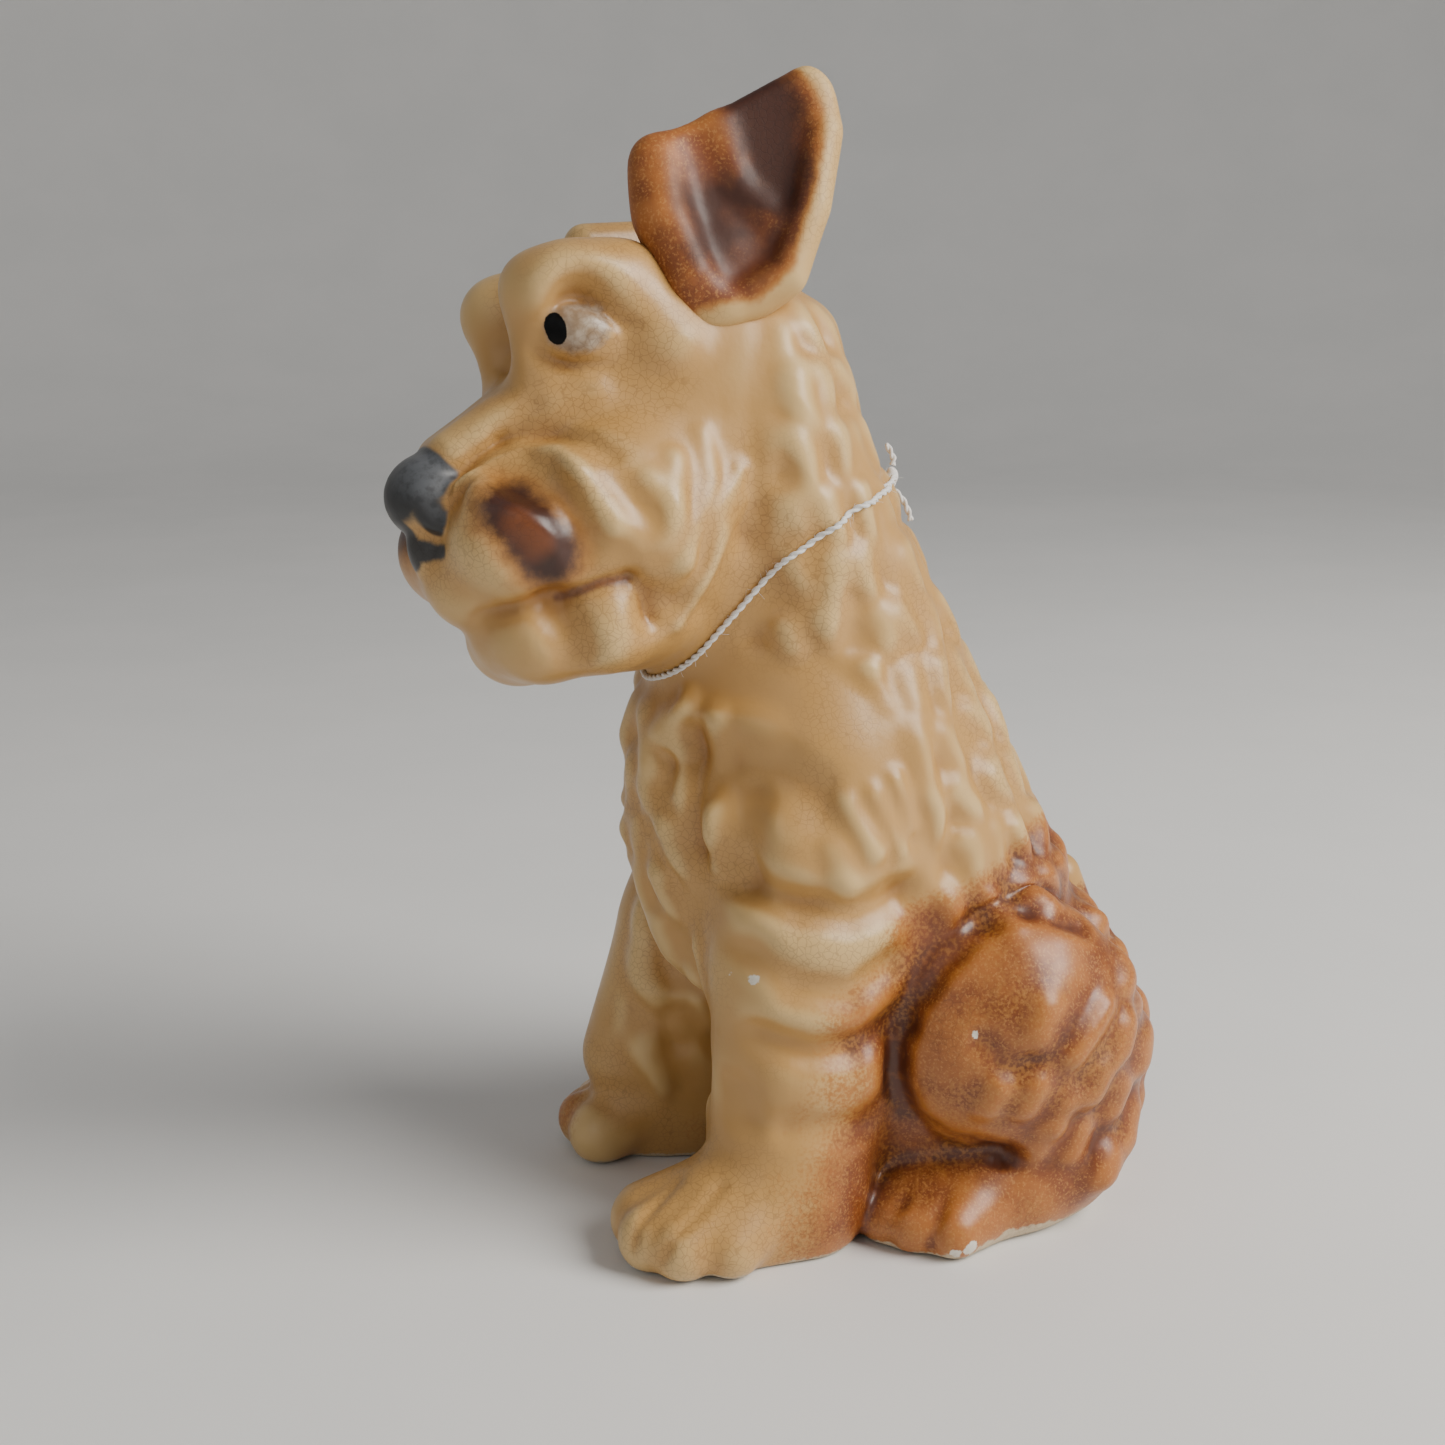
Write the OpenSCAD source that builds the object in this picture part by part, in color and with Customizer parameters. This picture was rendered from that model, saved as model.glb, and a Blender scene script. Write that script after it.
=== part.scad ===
// Seated terrier, a hollow slip-cast figure with a thin string tied round its neck.
// The dog looks along -Y, its left side is +X, and it stands on z = 0.

/* [Figure] */
// Height from the table to the tip of the upright ear
figure_h = 203; // [120:1:280]
// Wall of the casting
wall = 4.5; // [3:0.5:7]
// Diameter of the vent hole in the foot
vent_d = 14; // [8:1:22]

/* [Head] */
// Tilt of the head towards the dog's right
head_tilt = 12; // [0:1:16]
// Turn of the head towards the dog's left
head_turn = 7; // [0:1:10]

/* [String] */
// Diameter of the two-ply cotton string
string_d = 1.1; // [0.9:0.1:1.3]

/* [Hidden] */

design_h = 203;                 // the height at which every place below is written
k = figure_h / design_h;
skin_fn = 22;                   // roundness of the outer blobs
core_fn = 12;                   // roundness of the cavity
foot_floor = 5;                 // thickness of the closed foot
head_pivot = [0, -22, 150];     // the head tilts and turns about this point
centre_y = 3.8;                 // brings the middle of the outline to the origin

glaze = [0.82, 0.66, 0.42];
brown_glaze = [0.58, 0.31, 0.12];
cotton = [0.93, 0.92, 0.88];

// ---- blending shapes -------------------------------------------------------

// An ellipsoid at p with half-sizes r, turned by t degrees about X, Y and Z
module oval(p, r, t = [0, 0, 0], inset = 0) {
    translate(p) rotate(t) scale([for (s = r) max(s - inset, 1)]) sphere(1);
}

// Two ovals and the skin stretched over them
module limb(p, pr, q, qr, inset = 0) {
    hull() {
        oval(p, pr, inset = inset);
        oval(q, qr, inset = inset);
    }
}

// Sets a piece at its size, over the middle of the foot
module placed() {
    scale(k) translate([0, centre_y, 0]) children();
}

module head_frame() {
    translate(head_pivot) rotate([0, -head_tilt, head_turn]) translate(-head_pivot) children();
}

// ---- the casting -----------------------------------------------------------

// Trunk and neck: horizontal slices, each [height, front y, back y, half width]
trunk_stations = [
    [0, -6, 62, 34], [12, -8, 66, 37], [26, -10, 66.5, 38], [42, -14, 61, 36], [56, -19, 54, 33],
    [70, -24, 46, 31], [86, -27, 38, 29], [102, -27, 30, 27], [118, -26, 22, 25],
    [134, -24, 15, 24], [146, -22, 9, 22]
];

// Value c of the stations at height z, on a smooth curve through all of them
function slope(t, i, c) =
    let (a = max(i - 1, 0), b = min(i + 1, len(t) - 1)) (t[b][c] - t[a][c]) / (t[b][0] - t[a][0]);
function segment(t, z, i = 0) = (i >= len(t) - 2 || z < t[i + 1][0]) ? i : segment(t, z, i + 1);
function along(t, z, c) =
    let (
        i = segment(t, z), h = t[i + 1][0] - t[i][0], u = (z - t[i][0]) / h,
        a = t[i][c], b = t[i + 1][c], m = slope(t, i, c) * h, n = slope(t, i + 1, c) * h
    )
    a * (1 + 2 * u) * (1 - u) * (1 - u) + m * u * (1 - u) * (1 - u)
    + b * u * u * (3 - 2 * u) - n * u * u * (1 - u);

module stack(t, inset) {
    rings = inset > 0 ? 10 : 18;
    sides = inset > 0 ? 20 : 32;
    top = t[len(t) - 1][0];
    points = [
        for (r = [0 : rings]) let (
            z = top * r / rings,
            front = along(t, z, 1) + inset, back = along(t, z, 2) - inset, half = along(t, z, 3) - inset
        )
        for (s = [0 : sides - 1]) let (a = 360 * s / sides)
            [half * cos(a), (front + back) / 2 + (back - front) / 2 * sin(a), z]
    ];
    faces = concat(
        [[for (s = [0 : sides - 1]) s]],
        [for (r = [0 : rings - 1], s = [0 : sides - 1])
            let (n = (s + 1) % sides, lo = r * sides, hi = lo + sides)
            each [[lo + s, hi + s, lo + n], [lo + n, hi + s, hi + n]]],
        [[for (s = [sides - 1 : -1 : 0]) rings * sides + s]]
    );
    polyhedron(points, faces);
}

module trunk(inset) {
    stack(trunk_stations, inset);
    oval([0, 40, 24], [36, 26, 26], inset = inset);
    oval([0, -12, 74], [19, 16, 34], inset = inset);
}

module leg_pair(inset) {
    for (side = [-1, 1]) translate([0, side < 0 ? -3 : 0, 0]) {
        limb([side * 18, 0, 80], [16, 19, 20], [side * 20, -4, 52], [14, 18, 18], inset);
        limb([side * 20, -4, 52], [14, 18, 18], [side * 22, -8, 10], [14, 17, 14], inset);
    }
    for (side = [-1, 1]) {
        limb([side * 25, side < 0 ? -23 : -25, 5], [14, 16, 14], [side * 25, -12, 6], [14, 16, 17], inset);
        oval([side * 28, 32, 36], [15, 24, 24], [10, 0, 0], inset);
        limb([side * 31, 11, 4], [12, 12, 13], [side * 29, 22, 5], [13, 12, 14], inset);
    }
}

module skull(inset) {
    limb([0, -18, 156], [23, 26, 21], [0, -30, 160], [21, 18, 19], inset);
    limb([0, -22, 138], [21, 25, 20], [0, -34, 122], [18, 20, 17], inset);
}

module face() {
    for (side = [-1, 1]) {
        oval([side * 12, -44, 167], [11, 12, 9]);
        oval([side * 10, -57, 126], [12, 15, 12]);
        oval([side * 14, -40, 126], [12, 18, 15]);
    }
    limb([0, -40, 150], [14, 14, 12], [0, -63, 137], [9, 8, 8]);
    limb([0, -49, 114], [13, 13, 12], [0, -34, 114], [17, 14, 12]);
    oval([0, -67, 134], [9, 8, 9]);
    oval([0, -46, 128], [13, 16, 15]);
}

// Everything that the casting's outside is made of
module casting_outside() {
    trunk(0, $fn = skin_fn);
    leg_pair(0, $fn = skin_fn);
    head_frame() {
        skull(0, $fn = skin_fn);
        face($fn = skin_fn);
    }
}

module vent() {
    translate([0, 14, -1]) cylinder(d = vent_d, h = foot_floor + 12, $fn = 36);
}

module body_casting() {
    color(glaze) placed() difference() {
        casting_outside();
        intersection() {
            union() {
                trunk(wall, $fn = core_fn);
                leg_pair(wall, $fn = core_fn);
                head_frame() skull(wall, $fn = core_fn);
            }
            translate([-60, -80, foot_floor]) cube([120, 180, 200]);
        }
        translate([-80, -100, -40]) cube([160, 220, 40]);
        vent();
    }
}

// ---- pieces stuck on before firing -----------------------------------------

// Corners of the upright ear, from its tip round the front edge to the root and up the back
ear_corners = [
    [14, -3, 199], [14, -27, 187], [15, -29, 178], [18, -15, 164], [15, -6, 170], [13, -1, 191]
];
ear_rim = 4;        // half thickness of the rolled rim
ear_middle = [14, -13, 182];

module upright_ear() {
    color(brown_glaze) placed() difference() {
        hull() {
            for (p = ear_corners) translate(p) sphere(ear_rim, $fn = 24);
            translate([8, -12, 172]) sphere(6, $fn = 24);
        }
        hull() for (p = ear_corners)
            translate(p + 0.3 * (ear_middle - p) + [6, -1, 0]) sphere(ear_rim, $fn = 20);
        casting_outside();
    }
}

module folded_ear() {
    color(glaze) placed() difference() {
        head_frame() {
            hull() {
                translate([-14, -17, 179]) sphere(4.5, $fn = 24);
                translate([-13, -33, 180]) sphere(4, $fn = 24);
                translate([-21, -20, 174]) sphere(5, $fn = 24);
            }
            hull() {
                translate([-14, -19, 181]) sphere(3.5, $fn = 24);
                translate([-13, -34, 181]) sphere(3, $fn = 24);
                translate([-27, -31, 158]) sphere(3, $fn = 24);
            }
        }
        casting_outside();
    }
}

module tail() {
    color(glaze) placed() difference() {
        hull() {
            translate([-3, 60.5, 40]) sphere(6, $fn = 24);
            translate([-4, 56, 54]) sphere(5, $fn = 24);
        }
        casting_outside();
    }
}

// ---- string ----------------------------------------------------------------

// Left half of the loop, from the knot at the nape to the throat
loop_half = [
    [8.3, 14.1, 134.6], [13.5, 12.2, 134.1], [18.6, 8.4, 133.5], [22.2, 4.2, 132.6], [24.4, 0, 131],
    [25, -4.3, 128.5], [24.5, -8.2, 125.6], [23.2, -12.2, 121.8], [21.4, -15.7, 117.6],
    [19, -19.2, 113.2], [16.5, -22.8, 108.6], [12.6, -25.2, 104.8], [7, -26.9, 102.2], [0, -27.8, 100.3]
];
// The rest of the loop, over the nape and back to the knot
nape = [[-3, 15.1, 134.8], [1.5, 15.3, 134.8], [4.5, 15, 134.7]];
end_up_route = [[6.5, 15.4, 136.8], [6.4, 15.6, 138], [5.9, 15.2, 139.3], [5.4, 14.6, 140.6]];
end_down_route = [[6.8, 15.7, 132.5], [7.4, 17, 131], [7.7, 18, 129], [7.6, 18.7, 127]];
knot_at = [6.4, 15, 134.6];

half_turns = len(loop_half) - 1;
loop_route = concat(
    loop_half,
    [for (i = [half_turns - 1 : -1 : 0]) let (p = loop_half[i]) [-p.x, p.y, p.z]],
    nape
);

// A point of the smooth curve through all the route's points, at place u of leg i
function route_point(t, i, u) =
    let (
        p = t[i], q = t[i + 1],
        m = (q - t[max(i - 1, 0)]) / 2, n = (t[min(i + 2, len(t) - 1)] - p) / 2
    )
    p * (1 + 2 * u) * (1 - u) * (1 - u) + m * u * (1 - u) * (1 - u)
    + q * u * u * (3 - 2 * u) - n * u * u * (1 - u);

function smooth_route(t, steps) = concat(
    [for (i = [0 : len(t) - 2], j = [0 : steps - 1]) route_point(t, i, j / steps)], [t[len(t) - 1]]
);

// A round tube of diameter d along the points t
module cord(t, d, sides = 8) {
    last = len(t) - 1;
    points = [
        for (i = [0 : last]) let (
            way = t[min(i + 1, last)] - t[max(i - 1, 0)], w = way / norm(way),
            n = cross(w, [0.3, 0.1, 1]), u = n / norm(n), v = cross(w, u)
        )
        for (s = [0 : sides - 1]) let (a = 360 * s / sides) t[i] + d / 2 * (cos(a) * u + sin(a) * v)
    ];
    faces = concat(
        [[for (s = [sides - 1 : -1 : 0]) s]],
        [for (i = [0 : last - 1], s = [0 : sides - 1])
            let (n = (s + 1) % sides, lo = i * sides, hi = lo + sides)
            each [[lo + s, lo + n, hi + s], [lo + n, hi + n, hi + s]]],
        [[for (s = [0 : sides - 1]) last * sides + s]]
    );
    polyhedron(points, faces);
}

module neck_string() {
    color(cotton) placed() cord(smooth_route(loop_route, 3), string_d);
}

module string_end_up() {
    color(cotton) placed() cord(smooth_route(end_up_route, 2), string_d);
}

module string_end_down() {
    color(cotton) placed() cord(smooth_route(end_down_route, 2), string_d);
}

module string_knot() {
    color(cotton) placed() oval(knot_at, [1.6, 1.3, 1.8], $fn = 14);
}

body_casting();
upright_ear();
folded_ear();
tail();
neck_string();
string_knot();
string_end_up();
string_end_down();
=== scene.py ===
"""Looks of the seated terrier: a glazed slip-cast figure with a cotton string tied round its neck.

The figure is sculpted as smooth distance fields in millimetres, in the place that the CAD nodes hold,
then turned into meshes, given its fur in relief, and glazed with node materials.
The dog looks along -Y, its left side is +X, and it stands on z = 0.
"""

import math

import bpy
import numpy as np
import openvdb
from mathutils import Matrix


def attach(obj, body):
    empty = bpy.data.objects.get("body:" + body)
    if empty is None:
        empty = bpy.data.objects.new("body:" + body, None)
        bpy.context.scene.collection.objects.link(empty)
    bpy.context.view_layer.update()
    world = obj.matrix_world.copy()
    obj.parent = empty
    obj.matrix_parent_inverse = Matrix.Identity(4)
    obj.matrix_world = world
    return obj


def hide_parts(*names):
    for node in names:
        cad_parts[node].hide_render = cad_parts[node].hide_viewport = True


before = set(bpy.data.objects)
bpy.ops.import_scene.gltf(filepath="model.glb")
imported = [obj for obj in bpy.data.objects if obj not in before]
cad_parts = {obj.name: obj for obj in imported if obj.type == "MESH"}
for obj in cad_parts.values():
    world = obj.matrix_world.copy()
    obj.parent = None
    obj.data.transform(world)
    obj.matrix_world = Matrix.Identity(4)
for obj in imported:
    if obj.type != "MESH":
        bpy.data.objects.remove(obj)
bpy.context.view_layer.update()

MM = 0.001
CENTRE_Y = 3.8  # the frame's origin is this far in front of the sculpt's
HEAD_PIVOT = np.array([0.0, -22.0, 150.0], np.float32)
HEAD_TILT = math.radians(12)
HEAD_TURN = math.radians(7)
VOXEL = 0.7
SEED = 7
VENT_Y, VENT_R, VENT_DEEP = 14.0, 7.0, 9.0  # the hole in the foot that lets air out in the kiln


# ---- small helpers ----


def vec(*v):
    return np.array(v, dtype=np.float32)


def ramp(lo, hi, x):
    """Rises smoothly from 0 where x is lo to 1 where x is hi."""
    t = np.clip((x - lo) / (hi - lo), 0.0, 1.0)
    return t * t * (3 - 2 * t)


def length(v):
    return np.sqrt((v * v).sum(-1))


def unit(v):
    return v / np.linalg.norm(v, axis=-1, keepdims=True)


def blend_in(a, b, k):
    """Union of two fields with a fillet about k wide."""
    h = np.maximum(k - np.abs(a - b), 0) / k
    return np.minimum(a, b) - h * h * k / 4


def joined(d, *parts):
    """Blends parts into d one after another, each given with the width of its fillet."""
    for width, part in parts:
        d = blend_in(d, part, width)
    return d


def blend_out(a, b, k):
    """Field a with b taken away, with a rounded edge about k wide."""
    return -blend_in(-a, b, k)


def turned(u, v, angle):
    """Two coordinates seen from axes turned by an angle in radians."""
    c, s = math.cos(angle), math.sin(angle)
    return c * u + s * v, c * v - s * u


def oval_distance(q, r):
    """About how far q lies outside the ellipsoid of half sizes r round the origin."""
    k0 = length(q / r)
    k1 = length(q / (r * r))
    return k0 * (k0 - 1) / np.maximum(k1, 1e-6)


def oval(p, centre, radii, pitch=0.0, yaw=0.0):
    """Ellipsoid, pitched about X and then turned about Z, in degrees."""
    x, y, z = np.moveaxis(p - vec(*centre), -1, 0)
    if yaw:
        x, y = turned(x, y, math.radians(yaw))
    if pitch:
        y, z = turned(y, z, math.radians(pitch))
    return oval_distance(np.stack([x, y, z], -1), vec(*radii))


def limb(p, a, ra, b, rb):
    """An oval swept from a to b while its radii go from ra to rb."""
    a, b = vec(*a), vec(*b)
    way = b - a
    t = np.clip(((p - a) @ way) / (way @ way), 0, 1)[..., None]
    return oval_distance(p - (a + way * t), vec(*ra) * (1 - t) + vec(*rb) * t)


def tube(p, a, b, ra, rb):
    """A round tapered capsule."""
    return limb(p, a, (ra,) * 3, b, (rb,) * 3)


def sheet(p, a, b, c, r):
    """A triangular sheet of half thickness r, with a round edge."""
    a, b, c = vec(*a), vec(*b), vec(*c)
    n = unit(np.cross(b - a, c - a))
    inside = np.ones(p.shape[:-1], bool)
    edge = np.full(p.shape[:-1], 1e9, np.float32)
    for s, e in ((a, b), (b, c), (c, a)):
        way = e - s
        inside &= ((p - s) @ np.cross(n, way)) > 0
        t = np.clip(((p - s) @ way) / (way @ way), 0, 1)[..., None]
        edge = np.minimum(edge, length(p - s - way * t))
    return np.where(inside, np.abs((p - a) @ n), edge) - r


def head_local(p):
    """Points moved into the untilted, unturned frame of the head."""
    x, y, z = np.moveaxis(p - HEAD_PIVOT, -1, 0)
    x, y = turned(x, y, HEAD_TURN)
    x, z = turned(x, z, HEAD_TILT)
    return np.stack([x, y, z], -1) + HEAD_PIVOT


# ---- the casting's form ----

# Trunk and neck in horizontal slices: height, front y, back y, half width
TRUNK = np.array([
    (-8, -2, 62, 25), (0, -2, 63, 26), (12, -6, 66, 31), (26, -10, 66, 33), (42, -14, 61, 32),
    (56, -19, 54, 31), (70, -24, 46, 30), (86, -27, 38, 29), (102, -27, 29.5, 27), (118, -26, 21, 25),
    (134, -24, 12.5, 24), (150, -22, 4, 21), (162, -20, -2, 18),
])
TRUNK_LEAN = 0.93  # the back slopes, so the level distance to it is too long


def trunk(p):
    z = np.clip(p[..., 2], TRUNK[0, 0], TRUNK[-1, 0])
    front, back, half = (np.interp(z, TRUNK[:, 0], TRUNK[:, i]).astype(np.float32) for i in (1, 2, 3))
    depth = (back - front) / 2
    q = np.stack([p[..., 0], p[..., 1] - (front + back) / 2], -1)
    side = oval_distance(q, np.stack([half, depth], -1)) * TRUNK_LEAN
    return blend_out(side, TRUNK[-1, 0] - p[..., 2], 14.0)


def fore_leg(p, side):
    """Side is 1 for the dog's left and -1 for its right, whose leg stands further forward."""
    ahead = -3.0 if side < 0 else 0.0
    knee, ankle = (side * 20, ahead - 4, 52), (side * 22, ahead - 8, 12)
    d = limb(p, (side * 18, ahead * 0.5, 84), (16, 19, 22), knee, (14, 17.5, 18))
    d = blend_in(d, limb(p, knee, (14, 17.5, 18), ankle, (13, 15, 14)), 4.0)
    if side > 0:
        return d
    return blend_in(d, limb(p, (-20, -16, 44), (11, 13, 14), (-23, -22, 20), (10.5, 13.5, 12)), 6.0)


def paw(p, side):
    reach = 1.0 if side < 0 else 0.0
    d = limb(p, (side * 24, reach - 20, 6), (11, 13, 12), (side * 23, -8, 8), (12, 13, 15))
    for x, y, r in ((19, -34, 6.5), (26.3, -34.8, 6.2), (31, -30.5, 6.2), (32.8, -22.5, 6.0)):
        toe = tube(p, (side * x, reach + y, 5.5), (side * (0.5 * x + 11), -12, 13), r, 7.0)
        d = blend_in(d, toe, 1.4)
    return d


def haunch(p, side):
    d = oval(p, (side * 27, 31, 38), (17.5, 24, 24), 8)
    return blend_in(d, oval(p, (side * 19, 42, 28), (15, 21, 19)), 6.0)


def hind_foot(p, side):
    d = limb(p, (side * 26, 18, 6), (9, 11, 9), (side * 24, 28, 8), (10, 12, 10))
    d = blend_in(d, limb(p, (side * 31, 22, 5), (8.5, 8, 9), (side * 29, 30, 7), (9, 10, 9)), 3.0)
    for x, y in ((28.5, 8.5), (33, 12), (37, 17.5)):
        toe = tube(p, (side * x, y, 4.5), (side * (0.4 * x + 14), y + 13, 9), 5.6, 6.4)
        d = blend_in(d, toe, 2.6)
    return d


def body_form(p):
    """The trunk with its rump and breast, and then the legs of each side."""
    d = joined(trunk(p), (8, oval(p, (0, 41, 24), (33, 26, 26))), (8, oval(p, (0, -12, 74), (19, 16, 34))))
    for side in (-1, 1):
        d = joined(
            d, (5, fore_leg(p, side)), (4, paw(p, side)), (1.5, haunch(p, side)), (1.5, hind_foot(p, side)),
            (7, oval(p, (side * 25, 39, 12), (13, 16, 14))),
        )
    return d


def head_form(p):
    """The head in its own frame."""
    d = limb(p, (0, -19, 155), (22, 23, 20), (0, -31, 158), (20, 17, 17))
    d = blend_in(d, limb(p, (0, -20, 138), (22, 24, 20), (0, -32, 121), (18, 20, 15)), 10)
    for side in (-1, 1):  # brows and cheeks
        d = joined(
            d, (4, oval(p, (side * 12, -43.5, 165), (11, 12, 8.5))),
            (3, tube(p, (side * 10.5, -50.5, 166), (side * 8.5, -50, 153), 5.0, 4.0)),
            (4, tube(p, (side * 14, -36, 166), (side * 17.5, -30, 156), 6.5, 4.5)),
            (7, oval(p, (side * 12, -38, 129), (13.5, 18, 16))),
        )
    bridge = limb(p, (0, -42, 149), (15, 13, 9), (0, -62, 137.5), (9, 8, 7.5))
    d = joined(d, (5, bridge), (5, oval(p, (0, -46, 127), (14, 18, 14))))
    for side in (-1, 1):  # sockets, eyeballs and the pads of the muzzle
        ahead = -2.5 if side < 0 else 0
        d = blend_out(d, oval(p, (side * 22.5, -46, 159.8), (8, 5.6, 6.2), 12), 5)
        d = joined(
            d, (1.2, oval(p, (side * 11.5, -43, 157.8), (8, 8.5, 6.0), -14)),
            (5, oval(p, (side * 10.5, ahead - 55.5, 125.5), (11.5, 12.8, 11), yaw=side * 12)),
        )
    jaw = limb(p, (0, -52, 110), (13, 10.5, 8), (0, -36, 112), (18, 14, 9.5))
    d = joined(d, (5, oval(p, (0, -61, 121), (9, 9, 8))), (1.5, jaw))
    for side in (-1, 1):
        d = joined(
            d, (4, oval(p, (side * 8, -52.5, 110), (7.5, 8, 8))),
            (4, oval(p, (side * 12.5, -43.5, 111), (7.5, 9, 8.4))),
        )
    return joined(d, (2.5, oval(p, (0, -68.5, 126), (3.8, 3.8, 5))), (4, oval(p, (0, -58, 117), (9, 9, 6))))


def nose_form(p):
    d = oval(p, (0, -67, 134), (8.6, 8.2, 7.4))
    for side in (-1, 1):
        d = blend_in(d, tube(p, (side * 4.8, -69.3, 133), (side * 6.2, -68.3, 129.8), 3.9, 2.4), 1.5)
    return d


EAR_MIDDLE = (20.5, -14, 180)
EAR_FACING = (0.94, -0.33, 0.06)
EAR_HALF = 2.6  # half the thickness of the slab
# The upright ear's outline in its own plane: back, up
EAR_OUTLINE = (
    (6, 18.2), (10.6, 19.4), (14, 16.5), (15, 11), (14, 5), (11.5, -3), (8.5, -11), (6, -17), (0.5, -21),
    (-5, -22.5), (-11, -22.5), (-14.5, -19), (-16.5, -14), (-18.5, -9), (-20, -4), (-20.4, 1), (-20, 5.5),
    (-18, 8.6), (-13, 10.4), (-6, 13), (0, 15.6),
)


def ear_frame(p):
    """Back, up and out coordinates in the plane of the upright ear, from the head's frame."""
    out = unit(vec(*EAR_FACING))
    across = unit(np.cross(vec(0, 0, 1), out))
    up = np.cross(out, across)
    q = p - vec(*EAR_MIDDLE)
    return np.stack([q @ across, q @ up, q @ out], -1)


def outline_distance(u, v, outline):
    """Signed distance to a closed polygon, below zero inside."""
    d = np.full(u.shape, 1e9, np.float32)
    inside = np.zeros(u.shape, bool)
    for (x0, y0), (x1, y1) in zip(outline, np.roll(outline, -1, 0)):
        wx, wy = x1 - x0, y1 - y0
        t = np.clip(((u - x0) * wx + (v - y0) * wy) / (wx * wx + wy * wy), 0, 1)
        d = np.minimum(d, np.hypot(u - x0 - t * wx, v - y0 - t * wy))
        inside ^= ((y0 > v) != (y1 > v)) & (u < wx * (v - y0) / (wy + 1e-9) + x0)
    return np.where(inside, -d, d)


def smooth_route(points, steps, closed=False):
    """Points on a smooth curve through the given ones."""
    t = np.pad(np.array(points, float), ((1, 1 + closed), (0, 0)), "wrap" if closed else "edge")
    out = []
    for a, b, c, d in zip(t, t[1:], t[2:], t[3:]):
        for u in np.arange(steps) / steps:
            out.append(b + 0.5 * u * (c - a + u * (2 * a - 5 * b + 4 * c - d + u * (3 * (b - c) + d - a))))
    return np.array(out if closed else out + [t[-1]])


def chain(p, points, radii):
    """A run of round tubes through the points."""
    d = tube(p, points[0], points[1], radii[0], radii[1])
    for i in range(1, len(points) - 1):
        d = np.minimum(d, tube(p, points[i], points[i + 1], radii[i], radii[i + 1]))
    return d


def upright_ear_form(p):
    """A bowed slab with a thick rim behind, a fold in front and a web down the middle."""
    q = ear_frame(head_local(p))
    edge = outline_distance(q[:, 0], q[:, 1], smooth_route(EAR_OUTLINE, 4, True))
    bow = 0.006 * (q[:, 0] ** 2 + 0.5 * q[:, 1] ** 2)
    over = np.stack([edge + EAR_HALF, np.abs(q[:, 2] + 1.2 - bow) - 0.2], -1)
    d = length(np.maximum(over, 0)) + np.minimum(over.max(-1), 0) - EAR_HALF
    rim = ((9.5, 16, 0.5), (12, 8, 1.5), (9, -4, 2), (4, -15, 2), (-5, -19, 1.5))
    fold = ((-15.5, 5, 0.5), (-15.5, -4, 2), (-12, -14, 2.5), (-8, -19, 1))
    return joined(
        d, (2, chain(q, rim, (2.2, 3, 3.2, 3.2, 2.6))), (3, chain(q, fold, (4, 4.6, 4.2, 3))),
        (3, tube(q, (-5, 10, 0), (-3, 1, 0.5), 2.2, 1.2)), (3, tube(q, (-3, 1, 0.2), (3, -6, 0.6), 1.3, 1.6)),
        (3, tube(q, (-6, -10, -3), (-7, -17, -4.5), 5, 5.5)),
    )


def folded_ear_form(p):
    """A flap folded down over the brow, and the root that carries it."""
    p = head_local(p)
    front, rear, tip, root = (-13, -32, 178), (-16, -14, 179.5), (-29, -33, 154), (-12, -23, 168)
    d = sheet(p, front, rear, tip, 2.6)
    return blend_in(d, sheet(p, front, rear, root, 3.4), 3.0)


def casting_form(p):
    """Body and head in one, cut off level at the foot with the vent hole in the middle."""
    local = head_local(p)
    head = blend_in(head_form(local), nose_form(local), 0.8)
    d = blend_in(body_form(p), head, 7.0)
    d = blend_out(d, p[..., 2], 1.2)
    vent = np.maximum(np.hypot(p[..., 0], p[..., 1] - VENT_Y) - VENT_R, p[..., 2] - VENT_DEEP)
    return blend_out(d, vent, 1.5)


def tail_form(p):
    return tube(p, (-3, 60, 40), (-4, 56, 54.5), 6.0, 4.6)


# ---- from field to mesh ----

CHUNK = 400000  # points worked out at a time, to save memory
DEEP = 10.0  # the field is cut off at this distance


def sample_band(form, low, high, step):
    """A grid of the field, worked out finely only near the surface."""
    coarse = 4
    big = step * coarse
    counts = [int(math.ceil((h - l) / big)) + 1 for l, h in zip(low, high)]
    axes = [np.float32(l) + np.float32(big) * np.arange(c, dtype=np.float32) for l, c in zip(low, counts)]
    grid = np.stack(np.meshgrid(*axes, indexing="ij"), -1)
    rough = form(grid.reshape(-1, 3)).reshape(grid.shape[:3])
    fine, near = rough, np.abs(rough) < big * 1.9
    for axis in range(3):
        fine, near = np.repeat(fine, coarse, axis), np.repeat(near, coarse, axis)
    at = np.argwhere(near)
    points = vec(*low) + at.astype(np.float32) * np.float32(step)
    values = np.empty(len(points), np.float32)
    for s in range(0, len(points), CHUNK):
        values[s:s + CHUNK] = form(points[s:s + CHUNK])
    fine[near] = values
    return fine


def field_mesh(form, low, high, step):
    """Vertices and quads of the surface where the field is zero."""
    values = sample_band(form, low, high, step)
    grid = openvdb.FloatGrid()
    grid.background = DEEP
    grid.copyFromArray(np.clip(values, -DEEP, DEEP).astype(np.float32))
    verts, quads = grid.convertToQuads()
    verts = np.asarray(verts, np.float32) * np.float32(step) + vec(*low)
    return verts, np.asarray(quads, np.int64)


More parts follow.
